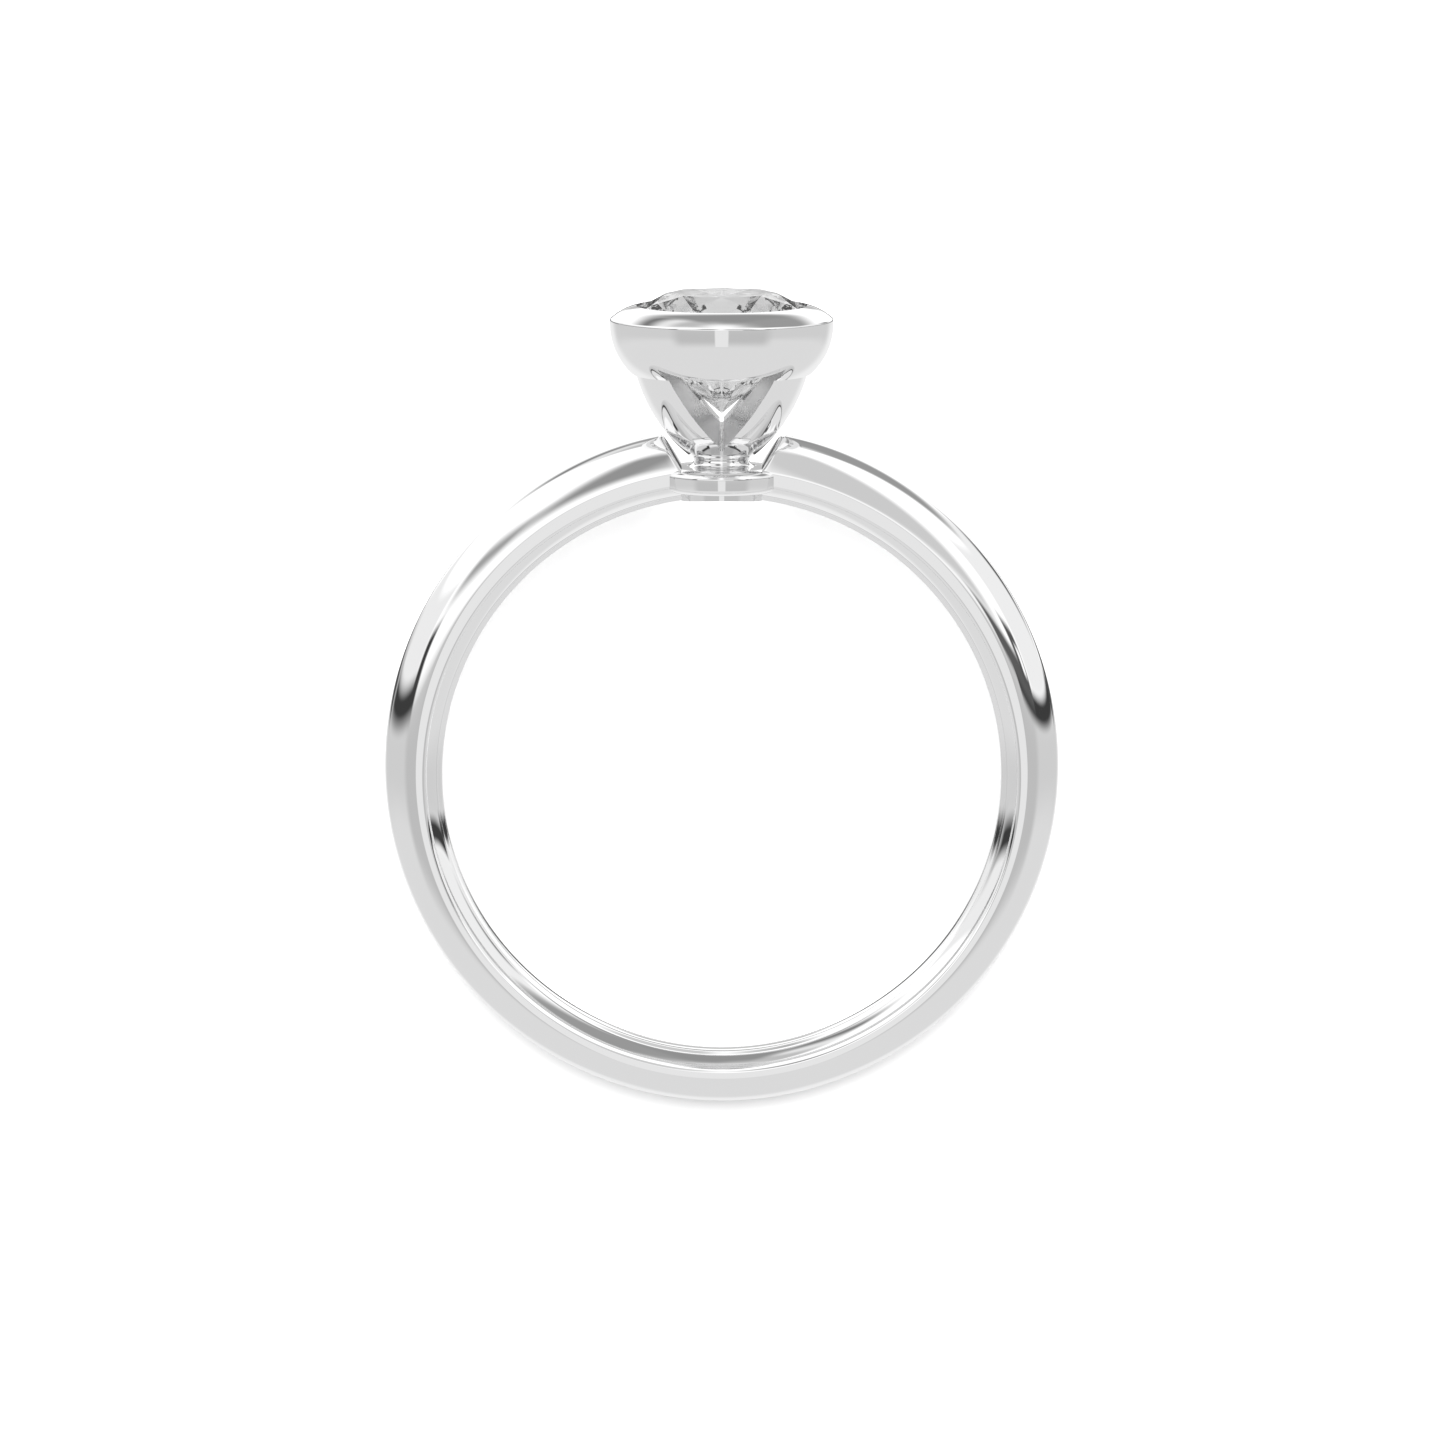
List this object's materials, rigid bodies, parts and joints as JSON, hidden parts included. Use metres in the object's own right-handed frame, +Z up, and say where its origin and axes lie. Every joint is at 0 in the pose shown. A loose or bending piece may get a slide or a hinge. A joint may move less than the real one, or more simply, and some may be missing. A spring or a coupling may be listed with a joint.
{
  "type": "bezel set ring",
  "caption": "Finger ring lying on its side: swelling half-round shank, open basket on a round collar, and a bezel cup that holds a round brilliant.",
  "frame": {"origin": "on the floor, under the middle of the box of the ring as it lies on its side", "axes": "+Z up, +X across the ring, +Y from the finger hole towards the head, which is raised a little because the ring leans on its bezel cup"},
  "size_m": [0.0198, 0.0241, 0.0065],
  "materials": {
    "white_gold": "mirror polished",
    "diamond": "clear and faceted"
  },
  "bodies": {
    "root": {"ring_mount": "white_gold", "centre_stone": "diamond"}
  },
  "joints": []
}
